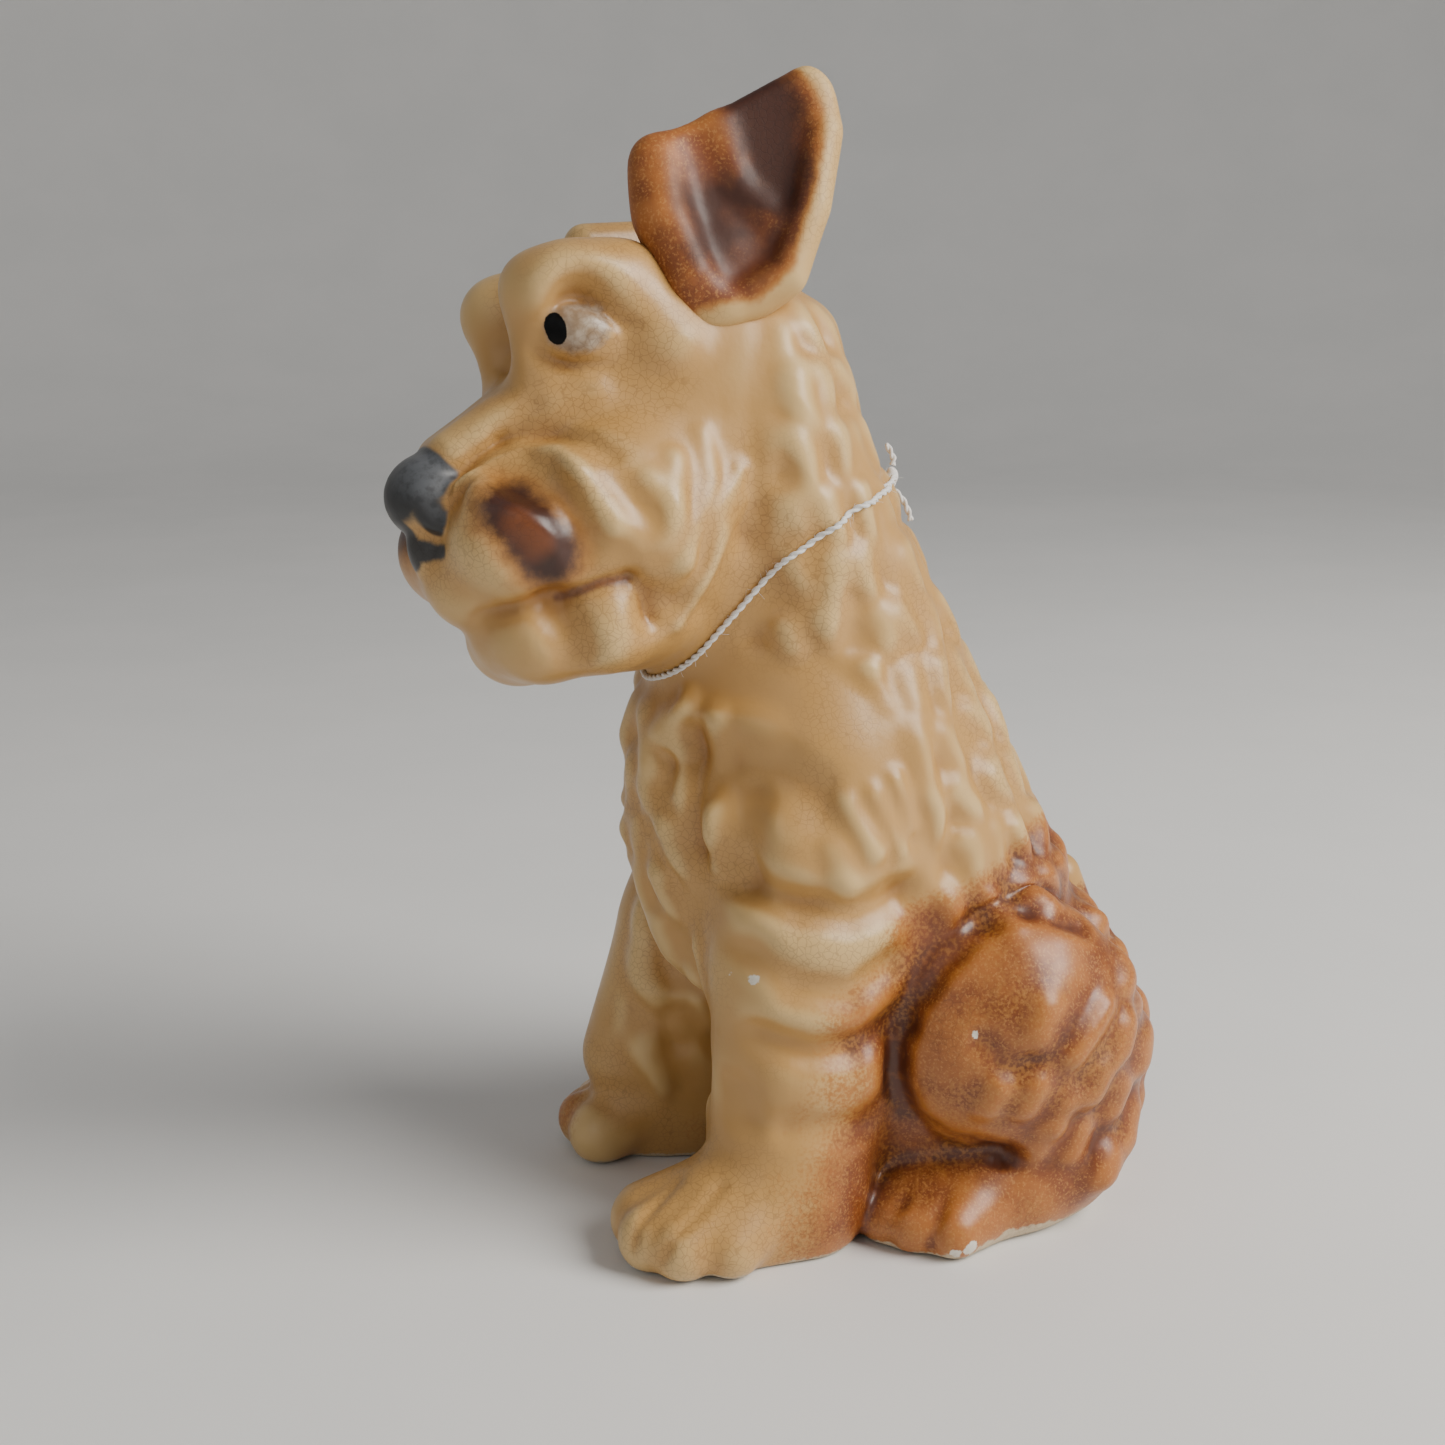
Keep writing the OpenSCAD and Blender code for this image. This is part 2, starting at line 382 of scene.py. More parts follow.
def vertex_normals(verts, quads):
    """The average direction of the quads round each vertex."""
    a, b, c, d = (verts[quads[:, i]] for i in range(4))
    n = np.cross(c - a, d - b)
    out = np.zeros_like(verts)
    for i in range(4):
        for k in range(3):
            out[:, k] += np.bincount(quads[:, i], n[:, k], len(verts)).astype(np.float32)
    return out / np.maximum(length(out), 1e-9)[:, None]


def relax(verts, quads, rounds):
    """Evens out small steps by moving each vertex towards its neighbours' middle."""
    edges = np.concatenate([quads[:, [i, (i + 1) % 4]] for i in range(4)])
    count = np.maximum(np.bincount(edges.ravel(), minlength=len(verts)), 1)[:, None]
    for _ in range(rounds):
        total = np.zeros_like(verts)
        for k in range(3):
            total[:, k] = (
                np.bincount(edges[:, 0], verts[edges[:, 1], k], len(verts))
                + np.bincount(edges[:, 1], verts[edges[:, 0], k], len(verts))
            )
        verts = ((verts + total / count) / 2).astype(np.float32)
    return verts


def formed(form, low, high, rounds, step=VOXEL * 0.8):
    """Vertices, quads and normals of a form, evened out."""
    verts, quads = field_mesh(form, low, high, step)
    verts = relax(verts, quads, rounds)
    return verts, quads, vertex_normals(verts, quads)


def in_scene(name, data):
    obj = bpy.data.objects.new(name, data)
    bpy.context.scene.collection.objects.link(obj)
    return obj


def smooth_mesh(name, verts, quads, material):
    mesh = bpy.data.meshes.new(name)
    mesh.from_pydata(verts, [], quads)
    mesh.polygons.foreach_set("use_smooth", np.ones(len(mesh.polygons), bool))
    mesh.update()
    mesh.materials.append(material)
    return in_scene(name, mesh)


def make_object(name, verts, quads, material, node):
    """A piece at its size in metres, which stands in for a CAD node."""
    verts = (verts + vec(0, CENTRE_Y, 0)) * MM
    obj = smooth_mesh(name, verts.tolist(), quads.tolist(), material)
    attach(obj, "root")
    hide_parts(node)
    return obj


# ---- relief on the casting ----


def run_distance(q, points):
    """Distance of the positions q from a run of straight legs."""
    points = [vec(*x) for x in points]
    best = length(q - points[0])
    for a, b in zip(points, points[1:]):
        t = np.clip(((q - a) @ (b - a)) / ((b - a) @ (b - a)), 0, 1)
        best = np.minimum(best, length(q - a - (b - a) * t[:, None]))
    return best


def swell(q, height, half, *points):
    """A soft ridge, or a soft valley where height is below zero."""
    x = np.clip(1 - (run_distance(q, points) / (half * 1.4)) ** 2, 0, 1)
    return height * x * x


def crease(q, depth, half, *points):
    """A narrow line pressed into the clay."""
    return -depth * np.clip(1 - run_distance(q, points) / half, 0, 1) ** 1.6


def swells(q, rows):
    """Ridges and valleys added up. Each row is a height, a half width and the points."""
    return sum(swell(q, *row) for row in rows)


def creases(q, rows):
    """Pressed lines added up. Each row is a depth, a half width and the points."""
    return sum(crease(q, *row) for row in rows)


# Lobes of the shoulder and the lock ends under them, over (y, z)
SHOULDER = (
    (1.8, 6, (-18, 96)), (-2.4, 6, (-22, 89), (-14, 88), (-10, 85)), (1.8, 2.4, (-21, 79), (-20, 70)),
    (-1.5, 3, (-17, 83), (-18, 68)), (2.0, 5.5, (-12, 80), (-12, 72)), (1.8, 7.5, (0, 73), (-1, 71)),
    (1.4, 3.6, (9, 72)), (1.0, 2.4, (-5, 76), (-3, 69)), (1.5, 2.0, (-3, 84), (2, 75)),
    (1.5, 2.0, (2, 85), (7, 75)), (1.5, 2.0, (6, 87), (9, 78)),
)
# Rolls of the fore leg with the valleys between them, over (y, z)
LEG_ROLLS = (
    (-2.2, 3.8, (-20, 71), (-17, 69), (-10, 66), (-2, 64), (7, 66)), (1.6, 7, (-8, 59), (2, 60)),
    (1.4, 4.5, (-16, 62), (-15, 55)), (-1.8, 3.6, (-17, 57), (-11, 52), (-2, 50), (5, 54)),
    (1.4, 6.5, (-13, 47), (0, 47)), (-1.6, 3.4, (-16, 43), (-9, 40), (-1, 40), (7, 43)),
    (1.2, 5.5, (-12, 34), (0, 33)), (-1.4, 3.5, (-20, 32), (-19, 27)), (1.0, 3.5, (3, 38), (3, 32)),
    (-1.2, 3.5, (-12, 26), (2, 24)),
)
# Lobes and valleys where the breast meets the shoulder
BREAST = (
    (1.8, 2.6, (14, -25, 99), (14, -25, 96.5)), (-1.6, 2.2, (15, -24, 94), (15, -24, 84), (16, -23, 73)),
    (1.6, 3.0, (19, -21, 96), (18, -20, 89)), (1.8, 2.6, (20, -20, 81), (19, -20, 70)),
    (1.5, 2.8, (24, -10, 112), (24, -9, 109)), (-0.9, 2.6, (22, -15, 110)),
    (1.5, 2.8, (8, -28, 91), (7, -28, 87)), (1.5, 2.6, (10, -28, 80), (10, -28, 76)),
    (1.5, 2.6, (6, -29, 71), (6, -29, 66)), (-1.2, 2.0, (11, -27, 87), (12, -27, 83)),
)
# The groove round the thigh, over (y, z)
THIGH_EDGE = (
    (43, 57), (34, 61), (29, 61), (22, 59), (15, 53), (10, 46), (8, 39), (8, 32), (11, 25), (18, 20),
    (27, 16),
)
THIGH = (
    (-1.6, 1.7, *THIGH_EDGE), (1.2, 8, (32, 52), (30, 48)), (-1.0, 2.6, (20, 41), (24, 37), (28, 37.5)),
    (2.0, 2.8, (43, 45), (36, 38)), (-1.5, 2.6, (20, 20), (29, 17)), (1.2, 5, (46, 11), (50, 11)),
)
# Lumps of the thigh: y, z, half width, height
THIGH_LUMPS = (
    (30, 45, 3.4, 1.4), (22, 31, 2.8, 1.5), (28.5, 31, 3.2, 1.9), (35, 27, 3.4, 1.7), (42, 31, 3.4, 2.0),
    (33, 20, 3.4, 1.5), (40, 19, 3.4, 1.8), (48, 38, 3.4, 2.2), (49, 25, 3.6, 2.3), (47, 13, 3.6, 1.8),
    (55, 17, 3.6, 2.2), (57, 31, 3.8, 2.4), (52, 49, 3.6, 2.0), (57, 42, 3.4, 1.8),
)
THIGH_PIT = (0.9, 0.9, (19, 42.4))


def haunch_lumps(q):
    """The thigh's edge, its leaning lumps and a pit in it."""
    lumps = [(height, half, (y + 0.8, z + 2), (y - 0.8, z - 2)) for y, z, half, height in THIGH_LUMPS]
    return swells(q, THIGH) + swells(q, lumps) + crease(q, *THIGH_PIT)


# The fold beside the bridge, the mouth's line and its corner, over the head's own (y, z)
FACE_CREASES = (
    (2.3, 2.3, (-65, 136.5), (-61.4, 139.5), (-57.7, 142)),
    (1.7, 2.2, (-63, 113.5), (-59.5, 114.3), (-52, 115.5), (-46.5, 117.2), (-42, 117.3)),
    (1.6, 2.6, (-42, 117.3), (-39, 114.7), (-37.5, 110.3)),
)
# Ridges and hollows on the pad of the muzzle, over the same
MUZZLE = (
    (-0.8, 2.0, (-58, 142), (-52.5, 146.5)),
    (1.5, 2.1, (-65, 133.4), (-60.5, 137.4), (-55, 139.2), (-51, 138), (-49, 134.5)),
    (-1.0, 1.8, (-55, 142.3), (-50.5, 142), (-46.5, 140), (-44, 137)),
    (0.8, 2.8, (-64, 134.5), (-65, 130.7), (-64, 125)), (-1.5, 3.4, (-58.5, 133), (-53, 131), (-50, 122)),
    (0.9, 4.0, (-62, 130), (-54, 124.5), (-49, 118)), (-1.6, 3.4, (-63, 126.5), (-57, 119)),
    (-1.7, 3.2, (-54, 114.5), (-52.3, 111), (-50, 106.5)), (1.0, 4.5, (-45, 113), (-46, 107)),
    (-1.0, 4, (-38.5, 112)), (1.0, 3.4, (-44, 148.3), (-57.5, 146), (-65, 142.4)),
    (1.4, 2.6, (-49.5, 134.5), (-47.5, 130), (-45, 126)),
)
# Folds of the cheek behind the muzzle, over the same
CHEEK = (
    (0.9, 3.0, (-38, 132), (-34, 125), (-34, 121)), (1.0, 3.4, (-40, 124), (-33.5, 118)),
    (-0.9, 2.8, (-43, 132), (-40, 127), (-37, 122)),
    (1.1, 1.8, (-21.5, 134), (-26.5, 127), (-28.7, 119), (-33, 110)),
    (1.0, 1.8, (-21, 129), (-25, 124), (-31, 113)), (0.9, 2.2, (-33.5, 136), (-34.7, 130), (-37.3, 122.7)),
    (0.8, 2.0, (-27.7, 140), (-27.3, 132), (-33, 120)), (-1.6, 5, (-19, 125)), (1.2, 2, (-19, 125.5)),
)
# The lower and upper lid, and the soft bag under the eye, over the same
LIDS = (
    (0.9, 1.4, (-52.5, 155.5), (-50, 153.2), (-45, 153), (-41, 155.5)),
    (1.1, 1.5, (-45, 162.5), (-42, 161), (-39.5, 158.5), (-36, 157.8)),
)
EYE_BAG = (0.5, 1.6, (-50, 151.5), (-45, 151))
# Lines between the toes of the fore paw, and then of the hind foot
TOE_LINES = (
    (1.6, 2.0, (24, -30, 15), (30, -39, 10), (31, -41, 3)),
    (1.6, 2.0, (31, -24, 16), (36, -34, 10), (34, -38, 1)),
    (1.4, 2.0, (36, -17, 15), (39.5, -26, 10), (39, -30, 1)),
    (1.3, 1.9, (30, 13, 17), (34, 9, 10), (34, 7, 2)), (1.3, 1.9, (34, 19, 16), (39, 14, 9), (39.5, 12, 2)),
)

# Where fur begins on the side, going back: height, y
FUR_EDGE = ((50, 16), (65, 11), (75, 11), (85, 7), (100, 4), (112, -8), (125, -16), (150, -15), (165, -12))


LOCK_ROWS = np.arange(168, 8, -10.0)  # heights of the rows of locks
LOCK_STEP = 8.2  # from lock to lock along a row
LOCK_LONG, LOCK_HALF, LOCK_HIGH = 15, 4.9, 3.0  # length, half width and height of a lock
LOCK_SWAY = 0.9


def lock_seeds(p, rng):
    """Staggered places on the skin, row by row, for the roots of the locks."""
    found = []
    for number, z in enumerate(LOCK_ROWS):
        ring = np.flatnonzero(np.abs(p[:, 2] - z) < 1.0)
        middle = float(np.interp(z, TRUNK[:, 0], (TRUNK[:, 1] + TRUNK[:, 2]) / 2))
        angle = np.arctan2(p[ring, 0], p[ring, 1] - middle)
        radius = np.hypot(p[ring, 0], p[ring, 1] - middle)
        turns = max(int(2 * math.pi * float(np.median(radius)) / LOCK_STEP), 6)
        for k in range(turns):
            want = (k + 0.5 * (number % 2) + rng.uniform(-0.2, 0.2)) * 2 * math.pi / turns - math.pi
            near = np.flatnonzero(np.abs(angle - want) < 0.06)
            if len(near):
                found.append(ring[near[np.argmax(radius[near])]])
    return np.array(found)


def comb(p, n, seeds, rng):
    """Tapering wavy locks laid from the seeds down the skin; the tallest wins where they overlap."""
    out = np.zeros(len(p), np.float32)
    order = np.argsort(p[:, 2])
    heights = p[order, 2]
    for i in seeds:
        down = vec(rng.uniform(-0.22, 0.22), 0.3 + rng.uniform(-0.15, 0.15), -1)
        along = unit(down - n[i] * (down @ n[i]))
        across = np.cross(n[i], along)
        reach = LOCK_LONG * rng.uniform(0.8, 1.25)
        centre = p[i] + along * reach * 0.5
        lo, hi = np.searchsorted(heights, (centre[2] - reach * 0.75, centre[2] + reach * 0.75))
        near = order[lo:hi]
        near = near[(np.abs(p[near] - centre) < reach * 0.75).all(1)]
        q = p[near] - p[i]
        t = (q @ along) / reach
        s = q @ across - LOCK_SWAY * np.sin(2 * math.pi * t + rng.uniform(0, 6.3))
        wide = LOCK_HALF * rng.uniform(0.8, 1.2) * np.clip(1.15 - 0.7 * t, 0.25, 1.2)
        taper = ramp(-0.12, 0.25, t) * (1 - ramp(0.6, 1.15, t))
        body = np.clip(1 - (s / wide) ** 2, 0, 1) * taper
        body = body * (np.abs(q @ n[i]) < 7) * LOCK_HIGH * rng.uniform(0.7, 1.15)
        out[near] = np.maximum(out[near], body)
    return out


def fur_amount(p, n):
    """How strongly the combed locks show, by place: on the back, the rump and the chest."""
    edge = np.interp(p[:, 2], *zip(*FUR_EDGE))
    back = ramp(edge - 2, edge + 6, p[:, 1]) * ramp(170, 160, p[:, 2])
    rump = ramp(60, 48, p[:, 2]) * ramp(22, 14, np.abs(p[:, 0])) * ramp(40, 46, p[:, 1])
    upper = ramp(54, 64, p[:, 2])
    chest = ramp(17, 12, np.abs(p[:, 0])) * ramp(-0.1, -0.4, n[:, 1])
    chest = chest * ramp(104, 96, p[:, 2])
    return np.maximum(np.maximum(back * upper, rump), chest).astype(np.float32)


def soften(values, quads, rounds):
    """Each vertex takes the mean of the quads round it, so many times over."""
    count = np.maximum(np.bincount(quads.ravel(), minlength=len(values)), 1)
    for _ in range(rounds):
        face = values[quads].mean(1)
        values = sum(np.bincount(quads[:, k], face, len(values)) for k in range(4)) / count
    return values.astype(np.float32)


def side_relief(p, n, local, head_n, side):
    """The relief of one side, with the second side a mirror of the first."""
    at, face = p[:, 1:], local[:, 1:]
    flank = ramp(0.05, 0.4, n[:, 0] * side)
    leg = ramp(103, 96, p[:, 2]) * ramp(16, 8, at[:, 0])
    h = flank * leg * (swells(at, SHOULDER) + swells(at, LEG_ROLLS))
    h += flank * haunch_lumps(at) * ramp(66, 60, at[:, 1])
    cheek = ramp(0.1, 0.4, head_n[:, 0] * side) * ramp(-16, -20, face[:, 0])
    h += cheek * (creases(face, FACE_CREASES) + swells(face, MUZZLE) + swells(face, CHEEK))
    socket = ramp(0.0, 0.3, head_n[:, 0] * side) * ramp(-34, -38, face[:, 0])
    h += socket * (creases(face, LIDS) + swell(face, *EYE_BAG))
    q = p * vec(side, 1, 1)
    return h + creases(q, TOE_LINES) + swells(q, BREAST)


def sculpt_relief(p, n, quads):
    """Height of the modelled relief above the form, at every vertex."""
    rng = np.random.default_rng(SEED)
    local, head_n = head_local(p), head_local(n + HEAD_PIVOT) - HEAD_PIVOT
    h = sum(side_relief(p, n, local, head_n, side) for side in (-1, 1))
    locks = comb(p, n, lock_seeds(p, rng), rng)
    h += soften(locks, quads, 5) * fur_amount(p, n)
    under_foot = ramp(-0.9, -0.4, n[:, 2])
    return soften(h * under_foot, quads, 2)


# ---- painted areas ----

# Front edge of the brown spray on the flank: height, y
SPRAY_EDGE = (
    (0, -8), (8, -7), (19, -5), (26, -2), (36, 1), (44, 1), (50, 4), (54, 8), (60, 11), (63, 15),
    (66, 22), (70, 35), (75, 50), (83, 75),
)
# Chips in the glaze of the fore leg, the thigh and the hind foot: place, radius
CHIPS = (
    ((26.5, -20.6, 53), 0.45), ((30.3, -17.7, 52.8), 0.8), ((41.1, 18.9, 42.6), 0.4),
    ((42.3, 18.5, 2.8), 1.5), ((42.2, 16, 2.2), 1.2),
)
MOUTH_LINE = ((-52, 115.6), (-49, 116.3), (-46.5, 117.2), (-42, 117.4))  # over the head's (y, z)
FAR_PAW = (-30, -40, 9)  # a brown patch on the toes
NOWHERE = 99.0  # a distance at which no paint shows
OTHER_WAY = 9  # added to the distance on skin that faces away from the patch


def face_areas(local):
    """Distances in mm from the painted parts of the face, from places in the head's frame."""
    names = ("pupil", "white", "lip", "ridge", "mouth")
    out = {name: np.full(len(local), NOWHERE, np.float32) for name in names}
    at = local[:, 1:]
    for side in (-1, 1):
        across = local[:, 0] * side
        ahead, lip_from = (0, 8) if side > 0 else (-7, 4.5)
        facing = np.where(across > 8, 0, OTHER_WAY)
        lip_facing = np.where(across > lip_from, 0, OTHER_WAY)
        found = {
            "pupil": oval(local, (side * 16, -48.8, 158.2), (6, 1.9, 2.6), 12 * side, -37 * side),
            "white": oval(local, (side * 17, -45.6, 158.2), (7, 5.4, 4.2), 0, -37 * side),
            "lip": run_distance(at, ((ahead - 60, 129.5), (ahead - 55, 122.5))) - 5.7 + lip_facing,
            "ridge": run_distance(at, ((ahead - 60, 127.5), (ahead - 57, 123.5))) + lip_facing,
            "mouth": run_distance(at, MOUTH_LINE) + facing,
        }
        for name, value in found.items():
            out[name] = np.where(across > 2, np.minimum(out[name], value), out[name])
    return out


def nose_areas(local):
    """Distances from the charcoal of the nose and from the dark boot shape under it."""
    nose = oval(local, (0, -69, 135.2), (9.5, 7.6, 7))
    boot = tube(local, (0, -74, 129.5), (0, -72, 125), 3.0, 3.4)
    for side in (-1, 1):
        nostril = tube(local, (side * 4.8, -69.3, 133), (side * 6.2, -68.3, 129.8), 4.4, 2.9)
        nose = np.minimum(nose, nostril)
        boot = np.minimum(boot, tube(local, (side * 1.5, -72, 125), (side * 7, -68, 124.4), 2.2, 1.2))
    return {"nose": nose, "boot": boot}


def body_areas(p):
    """Amount of brown spray, height above the worn rim of the foot and distance from the chips."""
    edge = np.interp(p[:, 2], *zip(*SPRAY_EDGE))
    paw = ramp(6, 0, length((p - vec(*FAR_PAW)) / vec(2.4, 1, 1.5)) - 2.5)
    worn_higher = 1.9 * ramp(12, 26, p[:, 1]) * ramp(0, 12, p[:, 0])  # at the near hind foot
    return {
        "spray": np.maximum(ramp(-18, 9, p[:, 1] - edge), paw * 0.75),
        "bare": p[:, 2] - worn_higher,
        "chip": np.minimum.reduce([length(p - vec(*at)) - r for at, r in CHIPS]),
    }


def hollowness(p, n, quads, near, wide):
    """Above zero in grooves and below zero on ridges, fine ones and broad ones together."""
    total = np.zeros(len(p), np.float32)
    q = [p[:, k] for k in range(3)]
    done = 0
    for rounds in (near, wide):
        q = [soften(c, quads, rounds - done) for c in q]
        done = rounds
        total += ((np.stack(q, -1) - p) * n).sum(-1)
    return np.clip(soften(total, quads, 2) * 1.1, -1.5, 1.5)


def paint(obj, values):
    """Gives the mesh a value at every vertex under each name."""
    for name, value in values.items():
        layer = obj.data.attributes.new(name, "FLOAT", "POINT")
        layer.data.foreach_set("value", np.asarray(value, np.float32))


# ---- glazes ----


class Nodes:
    """A short way to write a material's nodes."""

    def __init__(self, name):
        self.material = bpy.data.materials.new(name)
        self.material.use_nodes = True
        self.tree = self.material.node_tree
        self.shader = self.tree.nodes["Principled BSDF"]
        self.place = self.new("TexCoord").outputs["Object"]

    def new(self, kind, inputs=(), **settings):
        """A node with its settings made and some of its inputs linked or set."""
        node = self.tree.nodes.new("ShaderNode" + kind)
        for name, value in settings.items():
            setattr(node, name, value)
        for name, value in dict(inputs).items():
            self.put(node.inputs[name], value)
        return node

    def surface(self, name, value):
        """Links or sets one socket of the shader itself."""
        self.put(self.shader.inputs[name], value)

    def put(self, socket, value):
        if isinstance(value, bpy.types.NodeSocket):
            self.tree.links.new(value, socket)
        elif isinstance(value, tuple) and len(value) == 3 and socket.type == "RGBA":
            socket.default_value = (*value, 1)
        else:
            socket.default_value = value

    def math(self, kind, a, b):
        return self.new("Math", {0: a, 1: b}, operation=kind).outputs[0]

    def add(self, a, b):
        return self.math("ADD", a, b)

    def less(self, a, b):
        return self.math("SUBTRACT", a, b)

    def times(self, a, b):
        return self.math("MULTIPLY", a, b)

    def step(self, value, lo, hi, to_lo=0.0, to_hi=1.0):
        """A smooth step of the value, from to_lo at lo to to_hi at hi."""
        inputs = {"Value": value, "From Min": lo, "From Max": hi, "To Min": to_lo, "To Max": to_hi}
        return self.new("MapRange", inputs, interpolation_type="SMOOTHSTEP").outputs[0]

    def mix(self, amount, a, b, kind="MIX"):
        """Colour a with so much of colour b over it."""
        return self.new("Mix", {0: amount, 6: a, 7: b}, data_type="RGBA", blend_type=kind).outputs[2]

    def value(self, name):
        """A value that paint() left on the mesh."""
        return self.new("Attribute", attribute_name=name).outputs["Fac"]

    def noise(self, scale, detail=3.0, rough=0.5):
        inputs = {"Vector": self.place, "Scale": scale, "Detail": detail, "Roughness": rough}
        return self.new("TexNoise", inputs).outputs["Fac"]

    def uneven(self, reach, scale, detail=3.0, rough=0.5):
        """Noise spread out to run from minus reach to reach."""
        return self.step(self.noise(scale, detail, rough), 0.3, 0.7, -reach, reach)

    def cracks(self, scale, place):
        """Distance from the edges between cells."""
        cells = self.new("TexVoronoi", {"Vector": place, "Scale": scale}, feature="DISTANCE_TO_EDGE")
        return cells.outputs["Distance"]

    def bent_place(self, scale, reach):
        """Places pushed about by noise, so that lines drawn with them wander."""
        push = self.new("TexNoise", {"Vector": self.place, "Scale": scale}).outputs["Color"]
        inputs = {0: push, 1: (reach,) * 3, 2: self.place}
        return self.new("VectorMath", inputs, operation="MULTIPLY_ADD").outputs[0]

    def bump(self, height, distance, strength=1.0, under=None):
        inputs = {"Height": height, "Distance": distance, "Strength": strength}
        if under is not None:
            inputs["Normal"] = under
        return self.new("Bump", inputs).outputs[0]


HONEY = (0.48, 0.265, 0.08)
HONEY_PALE = (0.60, 0.40, 0.165)
HONEY_POOL = (0.37, 0.18, 0.045)
BROWN = (0.19, 0.046, 0.008)
BROWN_PALE = (0.38, 0.125, 0.022)
BROWN_POOL = (0.10, 0.024, 0.007)
AMBER = (0.42, 0.175, 0.035)
GOLD_FLECK = (0.56, 0.26, 0.07)
CHOCOLATE = (0.05, 0.012, 0.004)
CHARCOAL = (0.012, 0.012, 0.013)
# grey of the painted highlight on the top of the nose
NOSE_HIGHLIGHT_GREY = (0.095, 0.10, 0.108)
BARE_CLAY = (0.66, 0.55, 0.38)
STAINED_CLAY = (0.42, 0.32, 0.2)
CHIP_WHITE = (0.80, 0.77, 0.68)
CHIP_GREY = (0.58, 0.52, 0.42)
LIP_RUST = (0.2, 0.052, 0.009)
LIP_DARK = (0.045, 0.011, 0.004)
MOUTH_BROWN = (0.16, 0.05, 0.015)
EYE_GREY = (0.22, 0.15, 0.10)
EYE_PALE = (0.42, 0.35, 0.28)
BOOT_BLACK = (0.035, 0.032, 0.03)
PUPIL_BLACK = (0.003, 0.003, 0.003)
CRAZE_TINT = (0.2, 0.1, 0.04)
CRAZE_SCALE = 850  # cells to a metre
COTTON_SHADE = (0.60, 0.58, 0.55)
COTTON_WHITE = (0.86, 0.85, 0.82)
PAPER_SHADE = (0.77, 0.765, 0.75)
PAPER_WHITE = (0.80, 0.79, 0.775)
COAT = 0.28  # weight of the clear layer over the glaze
SPECULAR = 0.45


def honey_colour(m, hollow):
    """Pale on the ridges and darker where the glaze pooled."""
    tone = m.add(hollow, m.uneven(0.35, 28))
    colour = m.mix(m.step(tone, -0.1, -1.0), HONEY, HONEY_PALE)
    return m.mix(m.step(tone, 0.25, 1.4), colour, HONEY_POOL)


def brown_colour(m, hollow):
    """The sprayed brown, broken up by pale breaks and by gold flecks on the ridges."""
    tone = m.add(m.times(hollow, 1.3), m.uneven(0.5, 70, 4.0, 0.6))
    colour = m.mix(m.step(tone, 0.1, -0.9), BROWN, BROWN_PALE)
    colour = m.mix(m.step(tone, 0.1, 1.0), colour, BROWN_POOL)
    colour = m.mix(m.step(m.noise(420, 3.0, 0.6), 0.5, 0.7, 0, 0.3), colour, BROWN_PALE)
    flecks = m.times(m.step(m.noise(2100, 2.0), 0.52, 0.66, 0, 0.45), m.step(hollow, 0.6, -0.1))
    return m.mix(flecks, colour, GOLD_FLECK)


def speckle(m, reach):
    """The grain of the spray gun."""
    return m.step(m.noise(1500, 2.0), 0.35, 0.65, -reach, reach)


def crazed(m, least):
    """Where the craze lines show."""
    return m.step(m.noise(45, 2.0), least, 0.6)


def sheen(m, low=0.36, high=0.5):
    """Roughness that drifts between two values."""
    return m.step(m.noise(180, 4.0, 0.6), 0.3, 0.7, low, high)


def finish_glaze(m, colour, crazing, rough, coat=COAT):
    """Craze lines, a faint orange peel and a clear coat over the colour."""
    cells = m.cracks(CRAZE_SCALE, m.bent_place(500, 0.0009))
    line = m.times(m.step(cells, 0.0, 0.09, 1, 0), crazing)
    colour = m.mix(m.times(line, 0.3), colour, CRAZE_TINT, "MULTIPLY")
    peel = m.bump(m.noise(900, 2.0), 0.00006, 0.6)
    m.surface("Normal", m.bump(m.times(line, -1.0), 0.00002, 0.5, peel))
    m.surface("Base Color", colour)
    m.surface("Roughness", rough)
    m.surface("Coat Weight", coat)
    m.surface("Coat Roughness", 0.3)
    m.surface("Specular IOR Level", SPECULAR)
    return m.material


def sprayed_colour(m, hollow):
    """Honey glaze, then an amber fringe, then the brown of the hindquarters."""
    edge = m.add(m.add(m.value("spray"), m.uneven(0.2, 60, 4.0, 0.65)), speckle(m, 0.12))
    colour = m.mix(m.step(edge, 0.25, 0.75), honey_colour(m, hollow), AMBER)
    return m.mix(m.step(edge, 0.5, 1.05), colour, brown_colour(m, hollow))


def lip_colour(m, colour, ragged):
    """The brown patch on the lip, paler along its ridge, and the line of the mouth."""
    lip = m.add(m.value("lip"), ragged)
    patch = m.mix(m.step(m.value("ridge"), 3.6, 0.0), LIP_DARK, LIP_RUST)
    colour = m.mix(m.step(lip, 3.4, -0.5, 0, 0.8), colour, AMBER)
    colour = m.mix(m.step(lip, 1.4, -2.6), colour, patch)
    return m.mix(m.step(m.value("mouth"), 1.3, 0.2, 0, 0.85), colour, MOUTH_BROWN)


def nose_colour(m, colour, nose, ragged):
    """The boot shape, and the nose with a painted highlight in slate grey where it faces up and to the dog's
    left, broken up by noise.
    """
    boot = m.step(m.add(m.value("boot"), m.times(ragged, 0.3)), 0.5, -0.5)
    # painted highlight: the nose turns slate grey where it faces up and to the dog's left, as if lit
    highlighted_nose = m.mix(m.step(m.value("sky"), 0.25, 0.85), CHARCOAL, NOSE_HIGHLIGHT_GREY)
    highlighted_nose = m.mix(m.step(m.noise(700, 3.0, 0.6), 0.4, 0.7, 0, 0.5), highlighted_nose, CHARCOAL)
    return m.mix(nose, m.mix(boot, colour, BOOT_BLACK), highlighted_nose)


